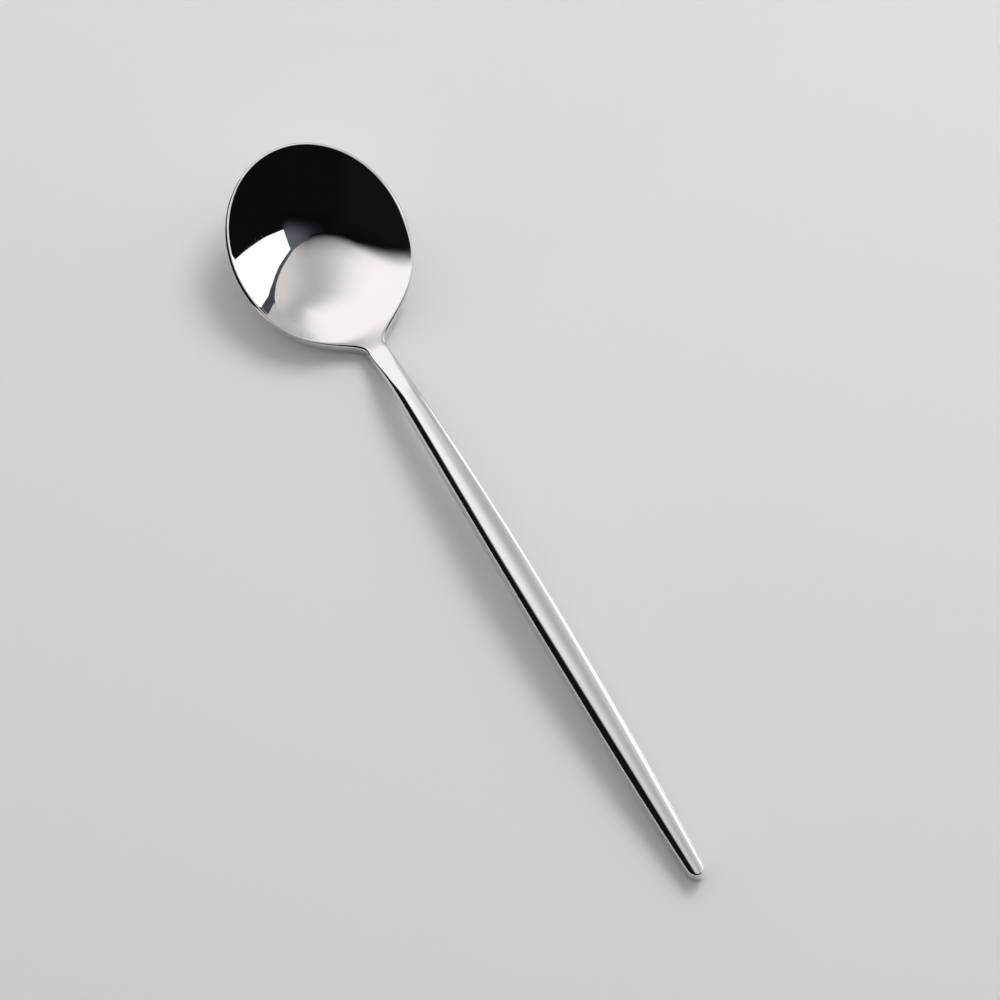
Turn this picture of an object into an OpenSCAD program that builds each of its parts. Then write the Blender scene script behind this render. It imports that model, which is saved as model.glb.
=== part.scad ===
// Teaspoon with a round bowl and a slim spindle handle, joined at the neck.
// It lies along X with the bowl towards -X, and rests on z = 0.
// Distances named *_x run along the spoon from the bowl's tip.

/* [Overall] */
// Length from the bowl's tip to the end of the handle
spoon_l = 140; // [125:1:160]

/* [Bowl] */
// Length of the bowl, from its tip to where its outline would close
bowl_l = 33.4; // [30:0.1:38]
// Width of the bowl across its rim, before the corners are rounded
bowl_w = 30.4; // [26:0.1:34]
// Depth of the hollow below the rim
bowl_depth = 7.6; // [6:0.1:9]
// Thickness of the dish, measured upright
bowl_wall = 1.1; // [0.9:0.05:1.5]
// Tilt of the rim in degrees, with the tip upwards
bowl_tilt = 18; // [8:0.5:20]
// Radius of the rim's two corners
rim_r = 0.2; // [0.1:0.05:0.3]
// How far the cut edge of the rim leans outwards
rim_lean = 0.55; // [0.2:0.05:0.7]
// Where the cut edge starts to turn upright
upright_x = 18; // [16:0.5:24]
// Length over which it turns upright
upright_l = 11; // [8:0.5:16]
// Depth of the flat that the bowl and the handle's end rest on
rest_depth = 0.08; // [0.04:0.01:0.15]

/* [Neck] */
// Where the neck is narrowest
neck_x = 33.6; // [32:0.1:38]
// Width of the neck at its narrowest
neck_w = 3.45; // [2.8:0.05:4.2]
// Thickness of the neck at its narrowest
neck_t = 2.7; // [2.2:0.05:3.2]
// Radius of the neck's upper corners
neck_r = 0.7; // [0.4:0.05:0.9]
// Height of the handle's top line at the neck, before the neck drops
neck_h = 5.1; // [4.5:0.1:6.5]
// Climb of the handle's top line at the neck, in degrees
neck_climb = 10.4; // [7:0.1:12]
// How far the neck drops below the handle's top line
neck_drop = 2.65; // [1.5:0.05:3]
// Where the drop is full
drop_x = 33.2; // [30:0.1:36]
// Length of the curve that leads out of the drop
drop_l = 13.7; // [11:0.1:18]
// Where the dish starts to thicken towards the neck
thicken_x = 26; // [22:0.5:28]
// Reach of the fillet between the bowl's outline and the neck
neck_fillet = 9.2; // [6:0.1:11]
// Where the hollow starts to run out into the top of the neck
runout_x = 27.8; // [25:0.1:29]
// Length of the hollow's run-out
runout_l = 10; // [8:0.5:14]

/* [Handle] */
// Where the handle is widest
widest_x = 88; // [78:1:100]
// Width of the handle at its widest
handle_w = 5.55; // [4.8:0.05:7]
// Thickness of the handle at its widest
handle_t = 4.9; // [4.2:0.1:5.6]
// Width of the handle where its rounded end begins
end_w = 3; // [2.8:0.05:4.5]
// Thickness of the handle at its end
end_t = 3.95; // [3.4:0.05:4.6]
// Length of the rounded end, seen from above
end_round = 1.8; // [1.5:0.1:3]
// Fall of the handle at its end, in degrees
end_fall = 6.2; // [4:0.1:8]
// Rise of the crowned top at the neck, as a share of the half-width
crown_share = 0.74; // [0.4:0.02:0.8]
// The same from the widest section on
end_crown = 0.47; // [0.3:0.01:0.6]
// Rise of the underside over the width of the handle
belly_h = 0.25; // [0.1:0.05:0.4]
// How far the handle's sides lean outwards towards the underside
side_lean = 0.36; // [0.2:0.01:0.5]
// The same at the end of the handle
end_lean = 0.09; // [0:0.01:0.2]
// Radius of the two upper shoulders
shoulder_r = 0.35; // [0.2:0.05:0.5]
// Radius of the two lower shoulders
under_r = 1; // [0.6:0.05:1.2]
// Where the crown and the shoulders begin
shoulder_x = 31.2; // [30:0.1:34]
// Length over which they grow to full size
shoulder_l = 17.3; // [14:0.1:24]

/* [Joint] */
// Where the bowl's neck stub meets the handle
joint_x = 48; // [45:0.5:54]
// Diameter of the spigot on the neck stub
spigot_d = 1.6; // [1.2:0.1:1.8]
// Length of the spigot
spigot_l = 4; // [2.5:0.5:6]
// Gap for the solder round the spigot and at its end
solder_gap = 0.05; // [0.02:0.01:0.1]

/* [Hidden] */
steel = "silver";

// Facets across the top, round each corner, and across the underside
top_steps = 9;
corner_steps = 3;
under_steps = 9;
half_steps = top_steps + under_steps + 2 * corner_steps + 1;
ring_steps = 2 * half_steps;
// Stations along the front of the bowl, its heel and neck, the handle and its end
front_step = 5;
heel_step = 0.6;
handle_step = 3;
end_steps = 7;

bowl_a = bowl_l / 2;
bowl_b = bowl_w / 2;
// Share of the way to the outline at which the mesh lines leave the axis
front_fan = 0.45;
end_fan = 0.4;
// Small distance for slopes
tiny = 0.001;
// Where the front stations end, as an angle round the bowl's ellipse
front_end = 150;

tilt_k = tan(bowl_tilt);
bowl_curve = bowl_depth / (bowl_b * bowl_b);
belly_curve = 4 * belly_h / (handle_w * handle_w);
// Rim height at the middle of the bowl that sets the dish's lowest point on z = 0
rim_h = bowl_wall + bowl_depth + pow(tilt_k * bowl_a, 2) / (4 * bowl_depth) - rest_depth;
end_h = end_t - rest_depth - tan(end_fall) * under_r;

// Smooth step from 0 at a to 1 at b, with no break in curvature
function ramp(a, b, u) =
    let (t = min(max((u - a) / (b - a), 0), 1))
    t * t * t * (t * (6 * t - 15) + 10);

// Greater of two values, blended over the reach k with no break in curvature
function soft_max(a, b, k) =
    let (h = max(k - abs(a - b), 0) / k)
    max(a, b) + h * h * h * k / 6;

function unit(v) = v / norm(v);

function bezier(a, b, c, t) = (1 - t) * (1 - t) * a + 2 * t * (1 - t) * b + t * t * c;

// Square of the half-width of the bowl's ellipse, which falls below zero past its heel
function bowl_square(u) =
    let (q = (u - bowl_a) / bowl_a)
    bowl_b * bowl_b * (1 - q * q);

// Half-width of the spindle, from the neck over its widest section to its end
function spindle_half(u) =
    let (
        q = u < widest_x ? (widest_x - u) / (widest_x - neck_x) : (u - widest_x) / (spoon_l - widest_x),
        least = u < widest_x ? neck_w : end_w
    )
    (handle_w - (handle_w - least) * q * q) / 2;

// Share of the width that the rounded end leaves
function end_share(u) =
    let (q = max(u - (spoon_l - end_round), 0) / end_round)
    sqrt(max(1 - q * q, 0));

// Half-width of the whole spoon's outline; squares keep the fillet smooth where the ellipse would close
function half_width(u) =
    u < bowl_a ? sqrt(max(bowl_square(u), 0)) :
    sqrt(soft_max(bowl_square(u), pow(spindle_half(u), 2), neck_fillet * neck_fillet)) * end_share(u);

// Outward direction of the outline, seen from above
function outline_normal(u) =
    u <= 0 ? [-1, 0] :
    u >= spoon_l ? [1, 0] :
    unit([half_width(u - tiny) - half_width(u + tiny), 2 * tiny]);

// Height of the hollow along the axis
function hollow_line(u) =
    let (q = (u - bowl_a) / bowl_a)
    rim_h - tilt_k * (u - bowl_a) - bowl_depth * (1 - q * q);

// Height of the neck's and handle's top along the axis: one cubic from neck to end, less the neck's drop
function handle_line(u) =
    let (
        run = spoon_l - neck_x,
        t = (u - neck_x) / run,
        rise = (t * t * t - 2 * t * t + t) * run * tan(neck_climb),
        fall = (t * t * t - t * t) * run * tan(end_fall),
        drop = neck_drop * (1 - ramp(drop_x, drop_x + drop_l, u))
    )
    neck_h + (end_h - neck_h) * t * t * (3 - 2 * t) + rise - fall - drop;

function top_line(u) =
    let (share = ramp(runout_x, runout_x + runout_l, u))
    hollow_line(u) + (handle_line(u) - hollow_line(u)) * share;

function thickness(u) =
    bowl_wall
    + (neck_t - bowl_wall) * ramp(thicken_x, neck_x, u)
    + (handle_t - neck_t) * ramp(neck_x, widest_x, u)
    + (end_t - handle_t) * ramp(widest_x, spoon_l, u);

// Share of the way from bowl to handle, for the crown and the corners
function handle_share(u) = ramp(shoulder_x, shoulder_x + shoulder_l, u);

// Curve of the crowned top, which keeps its shape as the handle widens and narrows
function crown_curve(u) =
    let (share = crown_share + (end_crown - crown_share) * ramp(neck_x, widest_x, u))
    share / max(spindle_half(u), end_w / 4);

function top_curve(u) = bowl_curve - (bowl_curve + crown_curve(u)) * handle_share(u);
function under_curve(u) = bowl_curve + (belly_curve - bowl_curve) * handle_share(u);

// How far the top corner stays inside the lower one: the rim leans, the heel is upright, the handle leans
function edge_lean(u) =
    rim_lean * (1 - ramp(upright_x, upright_x + upright_l, u))
    + (side_lean + (end_lean - side_lean) * ramp(widest_x, spoon_l, u)) * handle_share(u);

// Radii of the upper corners, largest at the neck, and of the lower ones
function top_r(u) =
    rim_r
    + (neck_r - rim_r) * ramp(thicken_x, neck_x, u)
    + (shoulder_r - neck_r) * ramp(neck_x, shoulder_x + shoulder_l, u);
function lower_r(u) = rim_r + (under_r - rim_r) * handle_share(u);

// Heights of the top and the underside over a point seen from above
function top_z(p) = top_line(p.x) + top_curve(p.x) * p.y * p.y;
function under_z(p) = top_line(p.x) - thickness(p.x) + under_curve(p.x) * p.y * p.y;

// Place on the axis from which a station's mesh line leaves for the outline
function axis_x(u) =
    let (end_x = spoon_l - end_round)
    u < bowl_a ? bowl_a - front_fan * (bowl_a - u) :
    u > end_x ? end_x + end_fan * (u - end_x) : u;

function lift(p, z) = [p.x, p.y, z];

// Half section at a station: over the top, round the edge and back under to the axis
function half_section(u) =
    let (
        axis = [axis_x(u), 0],
        out = outline_normal(u),
        r = top_r(u),
        low_r = lower_r(u),
        edge = [u, half_width(u)],
        crest = edge - edge_lean(u) * out,
        top_in = crest - r * out,
        under_in = edge - low_r * out,
        top_slope = (top_z(top_in) - top_z(top_in - tiny * out)) / tiny,
        under_slope = (under_z(under_in) - under_z(under_in - tiny * out)) / tiny,
        top_start = lift(top_in, top_z(top_in)),
        top_corner = lift(crest, top_z(top_in) + r * top_slope),
        under_corner = lift(edge, under_z(under_in) + low_r * under_slope),
        under_end = lift(under_in, under_z(under_in)),
        face = unit(under_corner - top_corner)
    )
    concat(
        [for (i = [0:top_steps])
            let (p = axis + (top_in - axis) * i / top_steps)
            lift(p, top_z(p))],
        [for (i = [1:corner_steps])
            bezier(top_start, top_corner, top_corner + r * face, i / corner_steps)],
        [for (i = [0:corner_steps])
            bezier(under_corner - low_r * face, under_corner, under_end, i / corner_steps)],
        [for (i = [1:under_steps])
            let (p = under_in + (axis - under_in) * i / under_steps)
            lift(p, under_z(p))]
    );

// Whole section: the half section and its mirror image, back to the start
function section(u) =
    let (half = half_section(u))
    concat(half, [for (i = [half_steps - 1:-1:1]) [half[i].x, -half[i].y, half[i].z]]);

// Closed skin through the sections at the stations; a closed end is folded onto the axis
module skin(stations, front_closed, back_closed) {
    last = len(stations) - 1;
    sections = [for (i = [0:last])
        (i == 0 && front_closed) || (i == last && back_closed) ? half_section(stations[i]) : section(stations[i])];
    first_count = len(sections[0]);
    function fold(k, closed) = closed && k % ring_steps > half_steps ? ring_steps - k % ring_steps : k % ring_steps;
    function at(i, k) =
        i == 0 ? fold(k, front_closed) :
        first_count + (i - 1) * ring_steps + fold(k, i == last && back_closed);
    sides = [for (i = [0:last - 1], k = [0:ring_steps - 1], half = [0, 1])
        half == 0 ? [at(i, k), at(i, k + 1), at(i + 1, k + 1)] : [at(i, k), at(i + 1, k + 1), at(i + 1, k)]];
    front_cap = front_closed ? [] : [[for (k = [ring_steps - 1:-1:0]) at(0, k)]];
    back_cap = back_closed ? [] : [[for (k = [0:ring_steps - 1]) at(last, k)]];
    translate([-spoon_l / 2, 0, 0])
        polyhedron([for (s = sections, p = s) p], concat(sides, front_cap, back_cap));
}

// Everything above the surface that the spoon rests on
module above_rest() {
    difference() {
        children();
        translate([-spoon_l, -bowl_w, -bowl_w])
            cube([2 * spoon_l, 2 * bowl_w, bowl_w]);
    }
}

// Round bar along the neck's own direction, from the middle of the joint face
module neck_bar(d, l, back) {
    climb = atan((top_line(joint_x + tiny) - top_line(joint_x - tiny)) / (2 * tiny));
    translate([joint_x - spoon_l / 2, 0, top_line(joint_x) - thickness(joint_x) / 2])
        rotate([0, 90 - climb, 0])
            translate([0, 0, -back])
                cylinder(d = d, h = l + back, $fn = 48);
}

front_stations = [for (a = [0:front_step:front_end]) bowl_a * (1 - cos(a))];
heel_start = bowl_a * (1 - cos(front_end));
heel_count = ceil((joint_x - heel_start) / heel_step);
heel_stations = [for (i = [1:heel_count]) heel_start + (joint_x - heel_start) * i / heel_count];
end_start = spoon_l - end_round;
bar_count = ceil((end_start - joint_x) / handle_step);
bar_stations = [for (i = [0:bar_count]) joint_x + (end_start - joint_x) * i / bar_count];
end_stations = [for (i = [1:end_steps]) end_start + end_round * sin(90 * i / end_steps)];

// Pressed dish with its neck stub and spigot
module bowl() {
    color(steel) union() {
        above_rest()
            skin(concat(front_stations, heel_stations), true, false);
        neck_bar(spigot_d, spigot_l, spigot_d);
    }
}

// Forged bar with the socket for the spigot in its front face
module handle() {
    color(steel) difference() {
        above_rest()
            skin(concat(bar_stations, end_stations), false, true);
        neck_bar(spigot_d + 2 * solder_gap, spigot_l + solder_gap, spigot_d);
    }
}

bowl();
handle();
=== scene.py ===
import math

import bmesh
import bpy
from mathutils import Matrix, Vector


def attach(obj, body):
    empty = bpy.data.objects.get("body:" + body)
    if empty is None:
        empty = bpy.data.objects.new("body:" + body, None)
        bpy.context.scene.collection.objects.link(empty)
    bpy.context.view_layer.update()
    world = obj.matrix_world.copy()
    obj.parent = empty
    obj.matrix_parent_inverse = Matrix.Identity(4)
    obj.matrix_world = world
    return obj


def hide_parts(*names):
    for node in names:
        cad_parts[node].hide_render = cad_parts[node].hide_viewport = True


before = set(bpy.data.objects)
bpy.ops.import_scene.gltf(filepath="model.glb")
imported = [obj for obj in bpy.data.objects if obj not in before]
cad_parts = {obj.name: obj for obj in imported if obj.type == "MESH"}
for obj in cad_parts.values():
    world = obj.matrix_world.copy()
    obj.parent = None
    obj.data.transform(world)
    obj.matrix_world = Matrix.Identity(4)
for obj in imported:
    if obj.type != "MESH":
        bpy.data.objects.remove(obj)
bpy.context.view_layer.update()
scene = bpy.context.scene
print("frame loaded:", sorted(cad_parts))

# shape of the spoon, in mm; x runs from the bowl's tip, as in the part's source
spoonShape = {
    "spoonLength": 140.0,
    "bowlLength": 33.4, "bowlWidth": 30.4, "bowlDepth": 7.6, "bowlWall": 1.1, "bowlTilt": 18.0,
    "rimRadius": 0.2, "rimLean": 0.55, "uprightX": 18.0, "uprightRun": 11.0, "restDepth": 0.08,
    "neckX": 33.6, "neckWidth": 3.45, "neckThick": 2.7, "neckRadius": 0.7, "neckHeight": 5.1, "neckClimb": 10.4,
    "neckDrop": 2.65, "dropX": 33.2, "dropRun": 13.7, "thickenX": 26.0, "neckFillet": 9.2,
    "runoutX": 27.8, "runoutRun": 10.0,
    "widestX": 88.0, "handleWidth": 5.55, "handleThick": 4.9, "endWidth": 3.0, "endThick": 3.95,
    "endRound": 1.8, "endFall": 6.2, "crownShare": 0.74, "endCrown": 0.47, "bellyRise": 0.25,
    "sideLean": 0.36, "endLean": 0.09, "shoulderRadius": 0.35, "underRadius": 1.0,
    "shoulderX": 31.2, "shoulderRun": 17.3,
    "jointX": 48.0, "spigotWidth": 1.6, "spigotLength": 4.0, "solderGap": 0.05,
}


class Sum:
    # a value inside a node tree; arithmetic on it adds Math nodes
    def __init__(self, tree, socket):
        self.tree, self.socket = tree, socket

    def math(self, operation, *others, swap=False):
        node = self.tree.nodes.new("ShaderNodeMath")
        node.operation = operation
        terms = (others + (self,)) if swap else ((self,) + others)
        for slot, term in zip(node.inputs, terms):
            if isinstance(term, Sum):
                self.tree.links.new(term.socket, slot)
            else:
                slot.default_value = term
        return Sum(self.tree, node.outputs[0])

    def __add__(self, other): return self.math("ADD", other)
    def __radd__(self, other): return self.math("ADD", other)
    def __sub__(self, other): return self.math("SUBTRACT", other)
    def __rsub__(self, other): return self.math("SUBTRACT", other, swap=True)
    def __mul__(self, other): return self.math("MULTIPLY", other)
    def __truediv__(self, other): return self.math("DIVIDE", other)
    def __rtruediv__(self, other): return self.math("DIVIDE", other, swap=True)
    def __neg__(self): return self.math("MULTIPLY", -1.0)
    def least(self, other): return self.math("MINIMUM", other)
    def most(self, other): return self.math("MAXIMUM", other)
    def size(self): return self.math("ABSOLUTE")
    def root(self): return self.math("SQRT")
    def sin(self): return self.math("SINE")
    def cos(self): return self.math("COSINE")
    def tanDegrees(self): return self.math("RADIANS").math("TANGENT")
    def above(self, other): return self.math("GREATER_THAN", other)
    def below(self, other): return self.math("LESS_THAN", other)
    def power(self, other): return self.math("POWER", other)


def pick(test, yes, no):
    return no + (yes - no) * test


def ramp(start, run, x):
    t = ((x - start) / run).most(0.0).least(1.0)
    return t * t * t * (t * (t * 6.0 - 15.0) + 10.0)


def softMost(a, b, reach):
    h = (reach - (a - b).size()).most(0.0) / reach
    return a.most(b) + h * h * h * reach / 6.0


def along(a, b, t):
    return [p + (q - p) * t for p, q in zip(a, b)]


def bend(a, b, c, t):
    s = 1.0 - t
    return [s * s * p + t * s * 2.0 * q + t * t * r for p, q, r in zip(a, b, c)]


class SpoonRule:
    # heights, widths and edges of the whole spoon as sums over a tree's named inputs
    def __init__(self, given):
        self.s = given
        s = given
        self.bowlA, self.bowlB = s["bowlLength"] * 0.5, s["bowlWidth"] * 0.5
        self.tilt = s["bowlTilt"].tanDegrees()
        self.bowlCurve = s["bowlDepth"] / (self.bowlB * self.bowlB)
        self.bellyCurve = s["bellyRise"] * 4.0 / (s["handleWidth"] * s["handleWidth"])
        tip = self.tilt * self.bowlA
        self.rimHeight = s["bowlWall"] + s["bowlDepth"] + tip * tip / (s["bowlDepth"] * 4.0) - s["restDepth"]
        self.endHeight = s["endThick"] - s["restDepth"] - s["endFall"].tanDegrees() * s["underRadius"]
        self.endStart = s["spoonLength"] - s["endRound"]

    def spindleHalf(self, x):
        s = self.s
        toNeck = (s["widestX"] - x) / (s["widestX"] - s["neckX"])
        toEnd = (x - s["widestX"]) / (s["spoonLength"] - s["widestX"])
        before = x.below(s["widestX"])
        q, least = pick(before, toNeck, toEnd), pick(before, s["neckWidth"], s["endWidth"])
        return (s["handleWidth"] - (s["handleWidth"] - least) * q * q) * 0.5

    def heelHalf(self, x):
        q, spindle, fillet = (x - self.bowlA) / self.bowlA, self.spindleHalf(x), self.s["neckFillet"]
        return softMost(self.bowlB * self.bowlB * (1.0 - q * q), spindle * spindle, fillet * fillet).most(0.0).root()

    def hollowLine(self, x):
        q = (x - self.bowlA) / self.bowlA
        return self.rimHeight - self.tilt * (x - self.bowlA) - self.s["bowlDepth"] * (1.0 - q * q)

    def handleLine(self, x):
        s = self.s
        run = s["spoonLength"] - s["neckX"]
        t = (x - s["neckX"]) / run
        rise = (t * t * t - t * t * 2.0 + t) * run * s["neckClimb"].tanDegrees()
        fall = (t * t * t - t * t) * run * s["endFall"].tanDegrees()
        drop = s["neckDrop"] * (1.0 - ramp(s["dropX"], s["dropRun"], x))
        return s["neckHeight"] + (self.endHeight - s["neckHeight"]) * t * t * (3.0 - t * 2.0) + rise - fall - drop

    def topLine(self, x):
        hollow = self.hollowLine(x)
        return hollow + (self.handleLine(x) - hollow) * ramp(self.s["runoutX"], self.s["runoutRun"], x)

    def thickness(self, x):
        s = self.s
        return (s["bowlWall"]
                + (s["neckThick"] - s["bowlWall"]) * ramp(s["thickenX"], s["neckX"] - s["thickenX"], x)
                + (s["handleThick"] - s["neckThick"]) * ramp(s["neckX"], s["widestX"] - s["neckX"], x)
                + (s["endThick"] - s["handleThick"]) * ramp(s["widestX"], s["spoonLength"] - s["widestX"], x))

    def share(self, x):
        return ramp(self.s["shoulderX"], self.s["shoulderRun"], x)

    def crownCurve(self, x):
        s = self.s
        grown = ramp(s["neckX"], s["widestX"] - s["neckX"], x)
        half = self.spindleHalf(x).most(s["endWidth"] * 0.25)
        return (s["crownShare"] + (s["endCrown"] - s["crownShare"]) * grown) / half

    def topZ(self, x, y):
        return self.topLine(x) + (self.bowlCurve - (self.bowlCurve + self.crownCurve(x)) * self.share(x)) * y * y

    def underZ(self, x, y):
        curve = self.bowlCurve + (self.bellyCurve - self.bowlCurve) * self.share(x)
        return self.topLine(x) - self.thickness(x) + curve * y * y

    def edgeLean(self, x):
        s = self.s
        side = s["sideLean"] + (s["endLean"] - s["sideLean"]) * ramp(s["widestX"], s["spoonLength"] - s["widestX"], x)
        return s["rimLean"] * (1.0 - ramp(s["uprightX"], s["uprightRun"], x)) + side * self.share(x)

    def topRadius(self, x):
        s = self.s
        return (s["rimRadius"]
                + (s["neckRadius"] - s["rimRadius"]) * ramp(s["thickenX"], s["neckX"] - s["thickenX"], x)
                + (s["shoulderRadius"] - s["neckRadius"])
                * ramp(s["neckX"], s["shoulderX"] + s["shoulderRun"] - s["neckX"], x))


slopeStep = 0.02  # mm, for slopes taken as differences


def sectionPoint(rule, x, half, outX, outY, axisX, place, steps):
    # one point of the section at x: over the top, round the cut edge, back under to the axis
    s = rule.s
    radius = rule.topRadius(x)
    lowRadius = s["rimRadius"] + (s["underRadius"] - s["rimRadius"]) * rule.share(x)
    lean = rule.edgeLean(x)
    crest = [x - lean * outX, half - lean * outY]
    topIn = [crest[0] - radius * outX, crest[1] - radius * outY]
    underIn = [x - lowRadius * outX, half - lowRadius * outY]
    topInZ, underInZ = rule.topZ(*topIn), rule.underZ(*underIn)
    topSlope = (topInZ - rule.topZ(topIn[0] - outX * slopeStep, topIn[1] - outY * slopeStep)) / slopeStep
    underSlope = (underInZ - rule.underZ(underIn[0] - outX * slopeStep, underIn[1] - outY * slopeStep)) / slopeStep
    topCorner = crest + [topInZ + radius * topSlope]
    underCorner = [x, half, underInZ + lowRadius * underSlope]
    face = [q - p for p, q in zip(topCorner, underCorner)]
    length = (face[0] * face[0] + face[1] * face[1] + face[2] * face[2]).root()
    face = [f / length for f in face]
    edgeTop = [p + radius * f for p, f in zip(topCorner, face)]
    edgeUnder = [p - lowRadius * f for p, f in zip(underCorner, face)]
    counts = [steps["top"], steps["corner"], steps["edge"], steps["corner"], steps["under"]]
    starts = [sum(counts[:i]) for i in range(len(counts))]
    t = [((place - start) / float(count)).most(0.0).least(1.0) for start, count in zip(starts, counts)]
    over = [axisX + (topIn[0] - axisX) * t[0], topIn[1] * t[0]]
    over.append(rule.topZ(*over))
    back = [underIn[0] + (axisX - underIn[0]) * t[4], underIn[1] * (1.0 - t[4])]
    back.append(rule.underZ(*back))
    runs = [over,
            bend(topIn + [topInZ], topCorner, edgeTop, t[1]),
            along(edgeTop, edgeUnder, t[2]),
            bend(edgeUnder, underCorner, underIn + [underInZ], t[3]),
            back]
    point = runs[0]
    for start, run in zip(starts[1:], runs[1:]):
        later = place.above(start + 0.5)
        point = [pick(later, b, a) for a, b in zip(point, run)]
    return point


def spigotPoint(rule, turn, widen, reach):
    # circle round the bar that joins bowl and handle, at the joint face (reach 0) or at its end
    s = rule.s
    slope = (rule.topLine(s["jointX"] + slopeStep) - rule.topLine(s["jointX"] - slopeStep)) / (2.0 * slopeStep)
    cosine = 1.0 / (slope * slope + 1.0).root()
    sine = slope * cosine
    middle = rule.topLine(s["jointX"]) - rule.thickness(s["jointX"]) * 0.5
    radius = s["spigotWidth"] * 0.5 + widen
    y, rise = radius * turn.sin(), radius * turn.cos()
    onFace = [s["jointX"] + 0.0, y, middle + rise / cosine]
    far = s["spigotLength"] + widen
    centre = [s["jointX"] + far * cosine, y * 0.0, middle + far * sine]
    atEnd = [centre[0] - rise * sine, y, centre[2] + rise * cosine]
    first, second = reach.above(0.5), reach.above(1.5)
    return [pick(second, c, pick(first, b, a)) for a, b, c in zip(onFace, atEnd, centre)]


def startTree(name, sizes, rows, columns):
    # a tree with one named input per size and a grid of rows x columns to shape
    tree = bpy.data.node_groups.new(name, "GeometryNodeTree")
    tree.interface.new_socket("Geometry", in_out="INPUT", socket_type="NodeSocketGeometry")
    tree.interface.new_socket("Geometry", in_out="OUTPUT", socket_type="NodeSocketGeometry")
    keys = {}
    for label, value in sizes.items():
        entry = tree.interface.new_socket(label, in_out="INPUT", socket_type="NodeSocketFloat")
        entry.default_value = value
        keys[label] = entry.identifier
    inlet = tree.nodes.new("NodeGroupInput")
    given = {label: Sum(tree, inlet.outputs[label]) for label in sizes}
    grid = tree.nodes.new("GeometryNodeMeshGrid")
    grid.inputs["Vertices X"].default_value = rows
    grid.inputs["Vertices Y"].default_value = columns
    index = Sum(tree, tree.nodes.new("GeometryNodeInputIndex").outputs[0])
    row = (index + 0.5).math("DIVIDE", float(columns)).math("FLOOR")
    column = index - row * float(columns)
    return tree, keys, given, grid, row, column


metresPerMm = 0.00099995  # a hair under true size, so the smooth skin keeps inside the solids' box
weldDistance = 2e-7  # metres
sliverDistance = 1e-8  # metres


def endTree(tree, grid, point, material):
    # moves the grid to its points, which are in mm, and closes its seams
    placed = tree.nodes.new("ShaderNodeCombineXYZ")
    for slot, value in zip(placed.inputs, point):
        tree.links.new((value * metresPerMm).socket, slot)
    move = tree.nodes.new("GeometryNodeSetPosition")
    weld = tree.nodes.new("GeometryNodeMergeByDistance")
    weld.inputs["Distance"].default_value = weldDistance
    smooth = tree.nodes.new("GeometryNodeSetShadeSmooth")
    real = tree.nodes.new("GeometryNodeRealizeInstances")
    paint = tree.nodes.new("GeometryNodeSetMaterial")
    paint.inputs["Material"].default_value = material
    outlet = tree.nodes.new("NodeGroupOutput")
    tree.links.new(grid.outputs["Mesh"], move.inputs["Geometry"])
    tree.links.new(placed.outputs[0], move.inputs["Position"])
    for before, after in ((move, weld), (weld, smooth), (smooth, real), (real, paint), (paint, outlet)):
        tree.links.new(before.outputs[0], after.inputs[0])


def plainPiece(name, tree, keys, sizes, material, creaseDegrees):
    # evaluate the tree once and keep the result as a plain mesh
    holder = bpy.data.objects.new(name + "Maker", bpy.data.meshes.new(name + "Maker"))
    scene.collection.objects.link(holder)
    maker = holder.modifiers.new(name, "NODES")
    maker.node_group = tree
    for label, value in sizes.items():
        maker[keys[label]] = value
    mesh = bpy.data.meshes.new_from_object(holder.evaluated_get(bpy.context.evaluated_depsgraph_get()))
    holder.modifiers.remove(maker)
    bpy.data.objects.remove(holder)
    work = bmesh.new()
    work.from_mesh(mesh)
    bmesh.ops.dissolve_degenerate(work, dist=sliverDistance, edges=work.edges)
    bmesh.ops.recalc_face_normals(work, faces=work.faces)
    for edge in work.edges:
        edge.smooth = len(edge.link_faces) == 2 and edge.calc_face_angle() < math.radians(creaseDegrees)
    for face in work.faces:
        face.smooth = True
    openEdges = sum(1 for edge in work.edges if len(edge.link_faces) != 2)
    work.to_mesh(mesh)
    work.free()
    mesh.name = name
    mesh.materials.clear()
    mesh.materials.append(material)
    piece = bpy.data.objects.new(name, mesh)
    scene.collection.objects.link(piece)
    print(name, "faces", len(mesh.polygons), "open edges", openEdges)
    return piece


# polished steel
steelLook = {
    "paleTint": (0.745, 0.722, 0.704, 1.0), "deepTint": (0.70, 0.678, 0.661, 1.0),
    "tintScale": 90.0, "tintDetail": 3.0, "polishScale": (120.0, 2600.0, 2600.0), "polishDetail": 4.0,
    "smearScale": 160.0, "wearFrom": 0.1, "wearTo": 0.45, "roughLeast": 0.012, "roughMost": 0.05,
}


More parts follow.
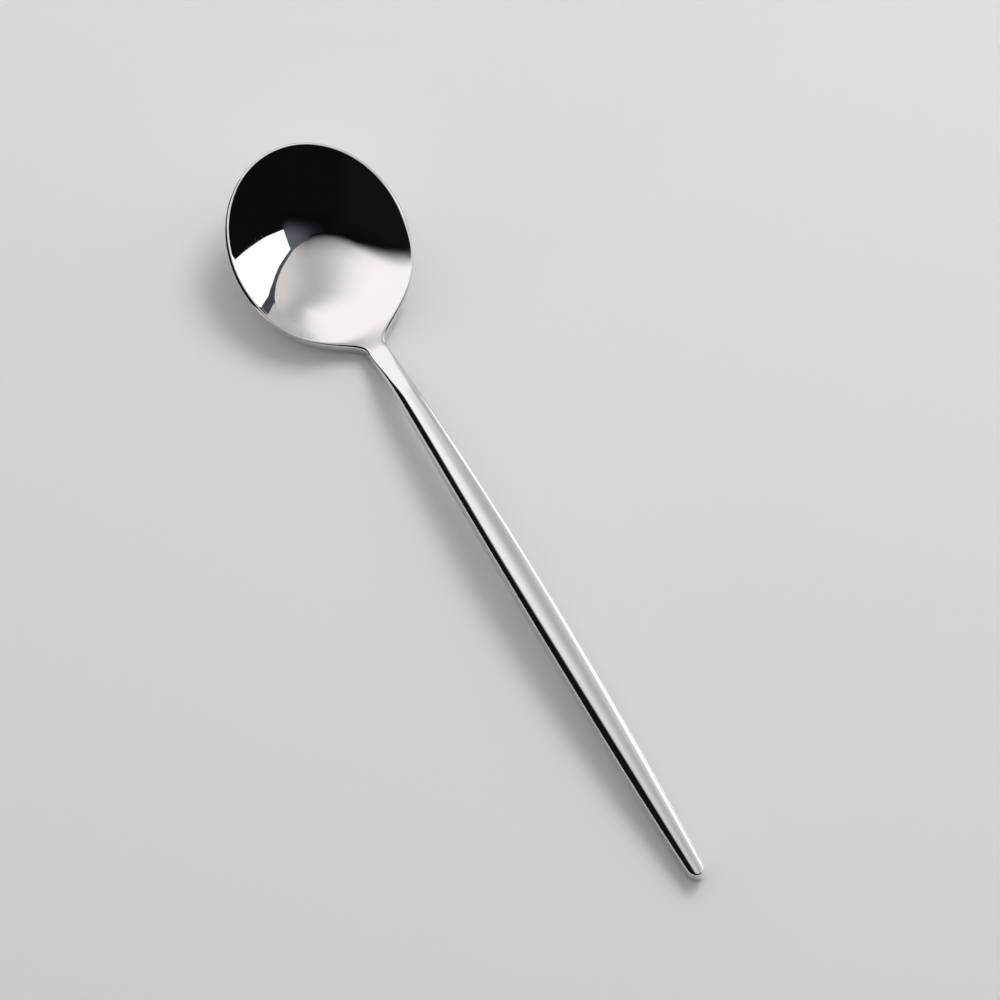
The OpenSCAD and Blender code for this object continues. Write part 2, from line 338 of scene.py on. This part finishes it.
def steelMaterial():
    look = steelLook
    material = bpy.data.materials.new("polishedSteel")
    material.use_nodes = True
    nodes, links = material.node_tree.nodes, material.node_tree.links
    shader = nodes["Principled BSDF"]
    shader.inputs["Metallic"].default_value = 1.0
    where = nodes.new("ShaderNodeTexCoord")
    tint = nodes.new("ShaderNodeTexNoise")
    tint.inputs["Scale"].default_value = look["tintScale"]
    tint.inputs["Detail"].default_value = look["tintDetail"]
    links.new(where.outputs["Object"], tint.inputs["Vector"])
    shade = nodes.new("ShaderNodeMix")
    shade.data_type = "RGBA"
    shade.inputs["A"].default_value = look["paleTint"]
    shade.inputs["B"].default_value = look["deepTint"]
    links.new(tint.outputs["Fac"], shade.inputs["Factor"])
    links.new(shade.outputs["Result"], shader.inputs["Base Color"])
    stretch = nodes.new("ShaderNodeMapping")  # polishing lines run along the spoon
    stretch.inputs["Scale"].default_value = look["polishScale"]
    links.new(where.outputs["Object"], stretch.inputs["Vector"])
    lines = nodes.new("ShaderNodeTexNoise")
    lines.inputs["Scale"].default_value = 1.0
    lines.inputs["Detail"].default_value = look["polishDetail"]
    links.new(stretch.outputs["Vector"], lines.inputs["Vector"])
    smear = nodes.new("ShaderNodeTexNoise")
    smear.inputs["Scale"].default_value = look["smearScale"]
    links.new(where.outputs["Object"], smear.inputs["Vector"])
    both = nodes.new("ShaderNodeMath")
    both.operation = "MULTIPLY"
    links.new(lines.outputs["Fac"], both.inputs[0])
    links.new(smear.outputs["Fac"], both.inputs[1])
    rough = nodes.new("ShaderNodeMapRange")
    rough.inputs["From Min"].default_value = look["wearFrom"]
    rough.inputs["From Max"].default_value = look["wearTo"]
    rough.inputs["To Min"].default_value = look["roughLeast"]
    rough.inputs["To Max"].default_value = look["roughMost"]
    links.new(both.outputs[0], rough.inputs["Value"])
    links.new(rough.outputs["Result"], shader.inputs["Roughness"])
    return material


steel = steelMaterial()
print("steel ready")

# bowl: rows run from the tip to the joint face, then over the spigot; columns run round the section
bowlMesh = {"frontDegrees": 150.0, "frontRows": 120, "heelRows": 110, "crowdAtJoint": 1.4, "frontFan": 0.45,
            "section": {"top": 46, "corner": 6, "edge": 2, "under": 38}, "creaseDegrees": 40.0}


def makeBowl():
    plan, steps = bowlMesh, bowlMesh["section"]
    half = steps["top"] + 2 * steps["corner"] + steps["edge"] + steps["under"]
    lastRow = plan["frontRows"] + plan["heelRows"]
    spigotRows = 3
    tree, keys, given, grid, row, column = startTree("bowlTree", spoonShape, lastRow + spigotRows + 1, 2 * half + 1)
    rule = SpoonRule(given)
    frontEnd = math.radians(plan["frontDegrees"])
    angle = row.least(float(plan["frontRows"])) * (frontEnd / plan["frontRows"])
    onward = ((row - float(plan["frontRows"])) / float(plan["heelRows"])).most(0.0).least(1.0)
    crowded = 1.0 - (1.0 - onward).power(plan["crowdAtJoint"])
    heelStart = rule.bowlA * (1.0 - math.cos(frontEnd))
    x = rule.bowlA * (1.0 - angle.cos()) + (given["jointX"] - heelStart) * crowded
    inFront = angle.below(math.pi / 2)
    width = pick(inFront, rule.bowlB * angle.sin(), rule.heelHalf(x))
    slope = (rule.heelHalf(x + slopeStep) - rule.heelHalf(x - slopeStep)) / (2.0 * slopeStep)
    outX = pick(inFront, -rule.bowlB * angle.cos(), -slope)
    outY = pick(inFront, rule.bowlA * angle.sin(), slope * 0.0 + 1.0)
    length = (outX * outX + outY * outY).root()
    axisX = pick(x.below(rule.bowlA), rule.bowlA - (rule.bowlA - x) * plan["frontFan"], x)
    place = column.least(2.0 * half - column)
    point = sectionPoint(rule, x, width, outX / length, outY / length, axisX, place, steps)
    side = pick(column.above(half + 0.5), column * 0.0 - 1.0, column * 0.0 + 1.0)
    point[1] = point[1] * side
    beyond = row - float(lastRow)
    spigot = spigotPoint(rule, column * (math.pi / half), 0.0, beyond - 1.0)
    point = [pick(beyond.above(0.5), b, a) for a, b in zip(point, spigot)]
    point[0] = point[0] - given["spoonLength"] * 0.5
    point[2] = point[2].most(0.0)
    endTree(tree, grid, point, steel)
    return plainPiece("spoonBowl", tree, keys, spoonShape, steel, plan["creaseDegrees"])


# handle: rows run out of the socket, over the joint face and along to the rounded end
handleMesh = {"barRows": 170, "endRows": 28, "crowdAtJoint": 1.4, "endFan": 0.4,
              "section": {"top": 24, "corner": 12, "edge": 6, "under": 18}, "creaseDegrees": 40.0}


def makeHandle():
    plan, steps = handleMesh, handleMesh["section"]
    half = steps["top"] + 2 * steps["corner"] + steps["edge"] + steps["under"]
    socketRows = 3
    lastRow = socketRows + plan["barRows"] + plan["endRows"]
    tree, keys, given, grid, row, column = startTree("handleTree", spoonShape, lastRow + 1, 2 * half + 1)
    rule = SpoonRule(given)
    onward = ((row - float(socketRows)) / float(plan["barRows"])).most(0.0).least(1.0)
    angle = (row - float(socketRows + plan["barRows"])).most(0.0) * (math.pi / 2 / plan["endRows"])
    x = (given["jointX"] + (rule.endStart - given["jointX"]) * onward.power(plan["crowdAtJoint"])
         + given["endRound"] * angle.sin())
    spindle = rule.heelHalf(x)
    slope = (rule.heelHalf(x + slopeStep) - rule.heelHalf(x - slopeStep)) / (2.0 * slopeStep)
    width = spindle * angle.cos()
    outX = spindle * angle.sin() - slope * given["endRound"] * angle.cos() * angle.cos()
    outY = given["endRound"] * angle.cos()
    length = (outX * outX + outY * outY).root()
    axisX = x.least(rule.endStart) + (x - rule.endStart).most(0.0) * plan["endFan"]
    place = column.least(2.0 * half - column)
    point = sectionPoint(rule, x, width, outX / length, outY / length, axisX, place, steps)
    side = pick(column.above(half + 0.5), column * 0.0 - 1.0, column * 0.0 + 1.0)
    point[1] = point[1] * side
    before = socketRows - row
    socket = spigotPoint(rule, column * (math.pi / half), given["solderGap"], before - 1.0)
    point = [pick(before.above(0.5), b, a) for a, b in zip(point, socket)]
    point[0] = point[0] - given["spoonLength"] * 0.5
    point[2] = point[2].most(0.0)
    endTree(tree, grid, point, steel)
    return plainPiece("spoonHandle", tree, keys, spoonShape, steel, plan["creaseDegrees"])


bowl = makeBowl()
handle = makeHandle()
bowl.visible_glossy = False  # the photographed dish shows no mirror image of its own far wall
for piece, node in ((bowl, "bowl"), (handle, "handle")):
    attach(piece, "root")
    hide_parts(node)
print("spoon made")

# camera, at the photograph's viewing angle
cameraPlan = {"azimuth": 59.667, "elevation": 72.0, "distance": 0.75, "aim": (-0.001806, 0.004748, 0.0),
              "pixelsPerMetre": 6049.0, "frame": 1000.0, "sensor": 36.0, "clip": (0.01, 50.0)}


def cameraAxes():
    turn, rise = math.radians(cameraPlan["azimuth"]), math.radians(cameraPlan["elevation"])
    backward = Vector((math.sin(turn) * math.cos(rise), -math.cos(turn) * math.cos(rise), math.sin(rise)))
    across = Vector((math.cos(turn), math.sin(turn), 0.0))
    return across, backward.cross(across), backward


def makeCamera():
    across, upward, backward = cameraAxes()
    lens = bpy.data.cameras.new("camera")
    lens.sensor_width = cameraPlan["sensor"]
    lens.lens = cameraPlan["pixelsPerMetre"] * cameraPlan["distance"] / cameraPlan["frame"] * cameraPlan["sensor"]
    lens.clip_start, lens.clip_end = cameraPlan["clip"]
    camera = bpy.data.objects.new("camera", lens)
    camera.matrix_world = Matrix((across, upward, backward)).transposed().to_4x4()
    camera.location = Vector(cameraPlan["aim"]) + backward * cameraPlan["distance"]
    scene.collection.objects.link(camera)
    scene.camera = camera


makeCamera()
print("camera set")

# studio: x is right, y is away and z is up, in metres from over the bowl; its cards show in the steel only
studioPlan = {"centre": (-0.053, 0.0, 0.006), "darkLevel": 0.005}
floorZ = -studioPlan["centre"][2]
white = (1.0, 1.0, 1.0, 1.0)


def studioPoint(x, y, z):
    across, _, backward = cameraAxes()
    away = -Vector((backward.x, backward.y, 0.0)).normalized()
    return Vector(studioPlan["centre"]) + across * x + away * y + Vector((0.0, 0.0, z))


def stageMesh(name, points, faces, material, steelOnly=True, spots=None):
    mesh = bpy.data.meshes.new(name)
    mesh.from_pydata(points, [], faces)
    mesh.materials.append(material)
    if spots:
        layer = mesh.uv_layers.new(name="spot")
        for loop in mesh.loops:
            layer.data[loop.index].uv = spots[loop.vertex_index]
    thing = bpy.data.objects.new(name, mesh)
    scene.collection.objects.link(thing)
    if steelOnly:
        thing.visible_camera = thing.visible_diffuse = thing.visible_shadow = False


def wallFaces(columns):
    # two rows of faces over columns of three points
    return [(3 * i + k, 3 * i + k + 1, 3 * i + k + 4, 3 * i + k + 3) for i in range(columns - 1) for k in (0, 1)]


def newMaterial(name):
    material = bpy.data.materials.new(name)
    material.use_nodes = True
    material.node_tree.nodes.clear()
    outlet = material.node_tree.nodes.new("ShaderNodeOutputMaterial")
    return material, material.node_tree.nodes, material.node_tree.links, outlet


def glowMaterial(name, color, level):
    material, nodes, links, outlet = newMaterial(name)
    glow = nodes.new("ShaderNodeEmission")
    glow.inputs["Color"].default_value = color
    glow.inputs["Strength"].default_value = level
    links.new(glow.outputs[0], outlet.inputs["Surface"])
    return material, nodes, links, glow


def spotSums(material, nodes, links):
    # the two values that a card's points carry
    spot = nodes.new("ShaderNodeUVMap")
    spot.uv_map = "spot"
    parts = nodes.new("ShaderNodeSeparateXYZ")
    links.new(spot.outputs[0], parts.inputs[0])
    return Sum(material.node_tree, parts.outputs[0]), Sum(material.node_tree, parts.outputs[1])


floorPlan = {"reach": 8.0, "color": (0.92, 0.92, 0.915, 1.0), "roughness": 0.9, "specular": 0.1}


def makeFloor():
    plan = floorPlan
    material = bpy.data.materials.new("paleFloor")
    material.use_nodes = True
    shader = material.node_tree.nodes["Principled BSDF"]
    shader.inputs["Base Color"].default_value = plan["color"]
    shader.inputs["Roughness"].default_value = plan["roughness"]
    shader.inputs["Specular IOR Level"].default_value = plan["specular"]
    reach = plan["reach"]
    stageMesh("floor", [(-reach, -reach, 0), (reach, -reach, 0), (reach, reach, 0), (-reach, reach, 0)],
              [(0, 1, 2, 3)], material, steelOnly=False)


# overhead panel, in panel heights: the right edge is hard, the near edge fades in the material
panelPlan = {
    "height": 0.8,
    "outline": ((-5.2, -0.9), (-0.6, -0.62), (-0.3, -0.66), (0.05, -0.66), (0.3, -0.63), (0.49, -0.565),
                (0.56, -0.48), (0.95, -0.2), (1.454, 0.365), (2.033, 1.1), (3.03, 2.535), (4.2, 4.4),
                (4.2, 5.0), (-5.2, 5.0)),
    # a dimmer band crosses it: levels across the band, where its middle runs, how it narrows and then spreads
    "levels": (1.26, 1.2, 1.125, 0.811, 0.613, 0.571, 0.7, 0.79, 0.84, 0.84), "levelSpan": (-1.6, 1.1),
    "bandMiddle": 0.677, "bandBendsAt": 0.486, "bandSlant": 0.693,
    "bandNarrowsFrom": -0.4, "bandNarrows": 0.279, "bandSpreadsFrom": 1.5, "bandSpreads": 0.469,
    # near edge: bowed over the middle, rising and softer to the left
    "edgeAt": -0.564, "bowMiddle": 0.05, "bowEnds": (-0.5, 0.6), "bowCurve": 0.426,
    "leftRise": 0.31, "leftCurve": 0.035, "soft": 0.25, "softShrinks": 0.16, "softRun": 0.5, "leftSoft": 0.3,
    # a long dim tail inside that edge, weaker on the left
    "tailStart": 0.05, "tailReach": 0.32, "tailPower": 1.6, "tailShare": 0.5, "tailLeftShare": 0.125,
    "tailSpan": (-0.75, 0.6),
}


def bandLevels(nodes, levels):
    # smooth ramp through the levels, as shares of the brightest
    shades = nodes.new("ShaderNodeValToRGB")
    shades.color_ramp.interpolation = "B_SPLINE"
    stops = shades.color_ramp.elements
    while len(stops) < len(levels):
        stops.new(0.5)
    for i, level in enumerate(levels):
        stops[i].position = i / (len(levels) - 1)
        stops[i].color = (level / max(levels), level / max(levels), level / max(levels), 1.0)
    return shades


def makePanel():
    plan = panelPlan
    material, nodes, links, glow = glowMaterial("overheadPanel", white, 1.0)
    x, y = spotSums(material, nodes, links)
    spread = (1.0 - y.most(plan["bandNarrowsFrom"]).least(plan["bandSpreadsFrom"]) * plan["bandNarrows"]
              + (y - plan["bandSpreadsFrom"]).most(0.0) * plan["bandSpreads"])
    across = (x - plan["bandMiddle"] - (y - plan["bandBendsAt"]).most(0.0) * plan["bandSlant"]) / spread
    low, high = plan["levelSpan"]
    shades = bandLevels(nodes, plan["levels"])
    links.new(((across - low) / (high - low)).socket, shades.inputs["Fac"])
    links.new(shades.outputs["Color"], glow.inputs["Color"])
    left, right = plan["bowEnds"]
    leftward = (left - x).most(0.0)
    bow = x.most(left).least(right) - plan["bowMiddle"]
    edge = (bow * bow * plan["bowCurve"] + plan["edgeAt"]
            + leftward * plan["leftRise"] - leftward * leftward * plan["leftCurve"])
    soft = (plan["soft"] - (x - left).most(0.0).least(plan["softRun"]) * plan["softShrinks"]
            + leftward * plan["leftSoft"])
    tail = 1.0 - ((y - edge - plan["tailStart"]) / plan["tailReach"]).most(0.0).least(1.0)
    share = plan["tailLeftShare"] + ramp(*plan["tailSpan"], x) * (plan["tailShare"] - plan["tailLeftShare"])
    fade = ramp(edge - soft * 0.5, soft, y) * (1.0 - tail.power(plan["tailPower"]) * share)
    links.new((fade * max(plan["levels"]) + studioPlan["darkLevel"]).socket, glow.inputs["Strength"])
    height, outline = plan["height"], plan["outline"]
    stageMesh("overheadPanel", [studioPoint(a * height, b * height, height) for a, b in outline],
              [tuple(reversed(range(len(outline))))], material, spots=outline)


# upright backdrop that carries the panel's light down to the floor: (azimuth in degrees, level); it dims to its foot
backdropPlan = {
    "columns": ((-50, 1.2), (-30, 1.25), (0, 1.25), (10, 1.22), (14, 1.13), (17, 1.04), (21, 0.92), (25, 0.8),
                (29, 0.7), (33, 0.65), (37, 0.62)),
    "lastColumn": (40.5, 46.6, 48.5), "lastLevel": 0.65, "footLevel": 0.62,
    "reach": 4.3, "heights": (floorZ, 0.8, 1.05),
}


def makeBackdrop():
    plan = backdropPlan
    material, nodes, links, glow = glowMaterial("backdropGlow", white, 1.0)
    level, _ = spotSums(material, nodes, links)
    links.new(level.socket, glow.inputs["Strength"])
    columns = [((turn, turn, turn), top) for turn, top in plan["columns"]]
    columns.append((plan["lastColumn"], plan["lastLevel"]))
    points, spots = [], []
    for turns, top in columns:
        for turn, height, shown in zip(turns, plan["heights"], (plan["footLevel"], top, top)):
            x = plan["reach"] * math.sin(math.radians(turn))
            y = plan["reach"] * math.cos(math.radians(turn))
            points.append(studioPoint(x, y, height))
            spots.append((shown, 0.0))
    stageMesh("backdropGlow", points, wallFaces(len(columns)), material, spots=spots)


# strip on the right: (azimuth, elevation, distance to the right) of its upper and lower edge, near end first
stripPlan = {
    "edges": (((100.4, 43.3, 0.5), (113.9, 35.2, 0.5)), ((76.5, 31.3, 0.5), (96.0, 24.0, 0.5)),
              ((62.5, 21.3, 0.42), (82.0, 13.0, 0.46)), ((57.0, 16.0, 0.31), (77.0, 8.5, 0.38)),
              ((52.0, 10.9, 0.25), (73.0, 5.0, 0.32)), ((44.4, -1.2, 0.2), (66.0, -2.0, 0.25))),
    "level": 1.6,
}


def makeStrip():
    plan = stripPlan
    points = []
    for pair in plan["edges"]:
        for turn, rise, side in pair:
            turn, rise = math.radians(turn), math.radians(rise)
            points.append(studioPoint(side, side / math.tan(turn), side * math.tan(rise) / math.sin(turn)))
    faces = [(2 * i, 2 * i + 1, 2 * i + 3, 2 * i + 2) for i in range(len(plan["edges"]) - 1)]
    stageMesh("stripGlow", points, faces, glowMaterial("stripGlow", white, plan["level"])[0])


# lamps, which show on the floor only: a broad one in the panel's place, given by (right, away, up) of its middle, and
# one for the shadow, given by azimuth, elevation and distance
lampPlan = {"overheadMiddle": (-0.4, 1.75, 0.8), "overheadSize": (6.0, 4.4), "overheadLevel": 0.56,
            "keyPlace": (35.0, 52.0, 1.0), "keySize": (0.45, 0.45), "keyLevel": 5.9}


def makeLamp(name, place, aim, size, level):
    lamp = bpy.data.lights.new(name, "AREA")
    lamp.shape = "RECTANGLE"
    lamp.size, lamp.size_y = size
    lamp.energy = level * math.pi * lamp.size * lamp.size_y
    thing = bpy.data.objects.new(name, lamp)
    outward, across = (place - aim).normalized(), cameraAxes()[0]
    sideways = (across - outward * across.dot(outward)).normalized()
    thing.matrix_world = Matrix((sideways, outward.cross(sideways), outward)).transposed().to_4x4()
    thing.location = place
    thing.visible_camera = thing.visible_glossy = False
    scene.collection.objects.link(thing)


def makeLamps():
    plan = lampPlan
    x, y, z = plan["overheadMiddle"]
    makeLamp("overheadLamp", studioPoint(x, y, z), studioPoint(x, y, 0.0), plan["overheadSize"],
             plan["overheadLevel"])
    turn, rise, far = plan["keyPlace"]
    turn, rise = math.radians(turn), math.radians(rise)
    outward = far * math.cos(rise)
    place = studioPoint(outward * math.sin(turn), outward * math.cos(turn), far * math.sin(rise))
    makeLamp("keyLamp", place, studioPoint(0.0, 0.0, 0.0), plan["keySize"], plan["keyLevel"])


# white card that lies on the floor beside the handle
floorCardPlan = {
    "outline": ((0.0268, -0.0212), (0.0275, -0.0115), (0.034, -0.003), (0.055, 0.018), (0.09, 0.053), (0.2, 0.2),
                (0.5, 0.46), (0.6, 0.3), (0.6, -0.3), (0.18, -0.3), (0.067, -0.1032), (0.0491, -0.0638)),
    "lift": 0.0004, "level": 1.35,
}


def makeFloorCard():
    plan = floorCardPlan
    points = [studioPoint(x, y, floorZ + plan["lift"]) for x, y in plan["outline"]]
    stageMesh("floorCard", points, [tuple(range(len(points)))], glowMaterial("floorCard", white, plan["level"])[0])


# dark card on the left with a soft upper edge: (away, up) along that edge; it thins out to its near end
flagPlan = {
    "edge": ((0.05, 0.02), (0.029, 0.022), (0.012, 0.026), (-0.004, 0.035), (-0.02, 0.051), (-0.03, 0.07),
             (-0.055, 0.0865), (-0.067, 0.104), (-0.105, 0.139), (-0.142, 0.17), (-0.178, 0.215), (-0.3, 0.33),
             (-0.6, 0.63)),
    "side": -0.1, "level": 0.0078, "softFrom": 0.7, "softTo": 1.3, "thinEnds": (-0.6, -0.15),
}


def makeFlag():
    plan = flagPlan
    material, nodes, links, outlet = newMaterial("darkFlag")
    up, away = spotSums(material, nodes, links)
    first, last = plan["thinEnds"]
    cover = (1.0 - ramp(0.0, 1.0, up)) * ramp(first, last - first, away)
    glow = nodes.new("ShaderNodeEmission")
    glow.inputs["Strength"].default_value = plan["level"]
    clear = nodes.new("ShaderNodeBsdfTransparent")
    mix = nodes.new("ShaderNodeMixShader")
    links.new(cover.socket, mix.inputs["Fac"])
    links.new(clear.outputs[0], mix.inputs[1])
    links.new(glow.outputs[0], mix.inputs[2])
    links.new(mix.outputs[0], outlet.inputs["Surface"])
    points, spots = [], []
    for y, edge in plan["edge"]:
        for z, shown in ((floorZ, 0.0), (edge * plan["softFrom"], 0.0), (edge * plan["softTo"], 1.0)):
            points.append(studioPoint(plan["side"], y, z))
            spots.append((shown, y))
    stageMesh("darkFlag", points, wallFaces(len(plan["edge"])), material, spots=spots)


# dim bluish haze past the panel's right edge: its outline is in panel heights, and each fade is (start, run)
hazePlan = {
    "height": 0.82, "level": 0.177, "tint": (0.72, 0.82, 1.0, 1.0),
    "outline": ((0.0, -1.05), (1.5, -1.05), (1.6, 0.0), (2.3, 0.9), (3.3, 2.3), (4.6, 4.4), (3.0, 4.4),
                (0.6, 0.0), (0.0, -0.3)),
    "nearFade": (-0.95, 0.6), "leftFade": (0.0, 1.1), "farFade": (-0.3, 0.6), "farDrop": 0.45,
    "cornerX": (1.15, 0.3), "cornerY": (-0.45, 0.3),
}
# card far off on the right that carries the haze down to the floor: (away, up) round its outline
slatePlan = {"side": 3.45, "level": 0.11, "tint": (0.62, 0.74, 1.0, 1.0),
             "outline": ((2.28, 1.86), (3.17, 1.17), (4.0, 0.41), (4.0, -0.2), (2.62, -0.2), (2.07, 1.04))}


def makeHaze():
    plan = hazePlan
    material, nodes, links, glow = glowMaterial("slateHaze", plan["tint"], 1.0)
    x, y = spotSums(material, nodes, links)
    level = ramp(*plan["nearFade"], y) * ramp(*plan["leftFade"], x)
    level = level * (1.0 - ramp(*plan["farFade"], y) * plan["farDrop"])
    level = level * (1.0 - ramp(*plan["cornerX"], x) * (1.0 - ramp(*plan["cornerY"], y)))
    links.new((level * plan["level"] + studioPlan["darkLevel"]).socket, glow.inputs["Strength"])
    unit, outline = panelPlan["height"], plan["outline"]
    stageMesh("slateHaze", [studioPoint(a * unit, b * unit, plan["height"]) for a, b in outline],
              [tuple(reversed(range(len(outline))))], material, spots=outline)


def makeSlate():
    plan = slatePlan
    points = [studioPoint(plan["side"], a, b) for a, b in plan["outline"]]
    stageMesh("slateCard", points, [tuple(range(len(points)))],
              glowMaterial("slateCard", plan["tint"], plan["level"])[0])


# dark box round everything, open at the floor
surroundPlan = {"reach": 7.0, "height": 6.0, "tint": (1.0, 1.0, 1.05, 1.0)}


def makeSurround():
    plan = surroundPlan
    reach = plan["reach"]
    corners = [studioPoint(x, y, z) for z in (floorZ, plan["height"])
               for x, y in ((-reach, reach), (-reach, -reach), (reach, -reach), (reach, reach))]
    stageMesh("darkSurround", corners, [(0, 1, 5, 4), (1, 2, 6, 5), (2, 3, 7, 6), (3, 0, 4, 7), (4, 5, 6, 7)],
              glowMaterial("darkSurround", plan["tint"], studioPlan["darkLevel"])[0])


worldPlan = {"pale": 0.8, "fill": 0.05}  # seen level, and the light it gives


def makeWorld():
    world = bpy.data.worlds.new("studio")
    scene.world = world
    world.use_nodes = True
    nodes, links = world.node_tree.nodes, world.node_tree.links
    nodes.clear()
    outlet = nodes.new("ShaderNodeOutputWorld")
    ground = nodes.new("ShaderNodeBackground")
    ground.inputs["Color"].default_value = white
    links.new(ground.outputs[0], outlet.inputs["Surface"])
    ray = nodes.new("ShaderNodeLightPath")
    seen = Sum(world.node_tree, ray.outputs["Is Camera Ray"])
    for label in ("Is Glossy Ray", "Is Transmission Ray"):
        seen = seen.most(Sum(world.node_tree, ray.outputs[label]))
    links.new((seen * worldPlan["pale"] + (1.0 - seen) * worldPlan["fill"]).socket, ground.inputs["Strength"])


makeFloor()
makePanel()
makeBackdrop()
makeStrip()
makeLamps()
makeFloorCard()
makeFlag()
makeHaze()
makeSlate()
makeSurround()
makeWorld()
scene.view_settings.view_transform = "Standard"
print("studio lit")
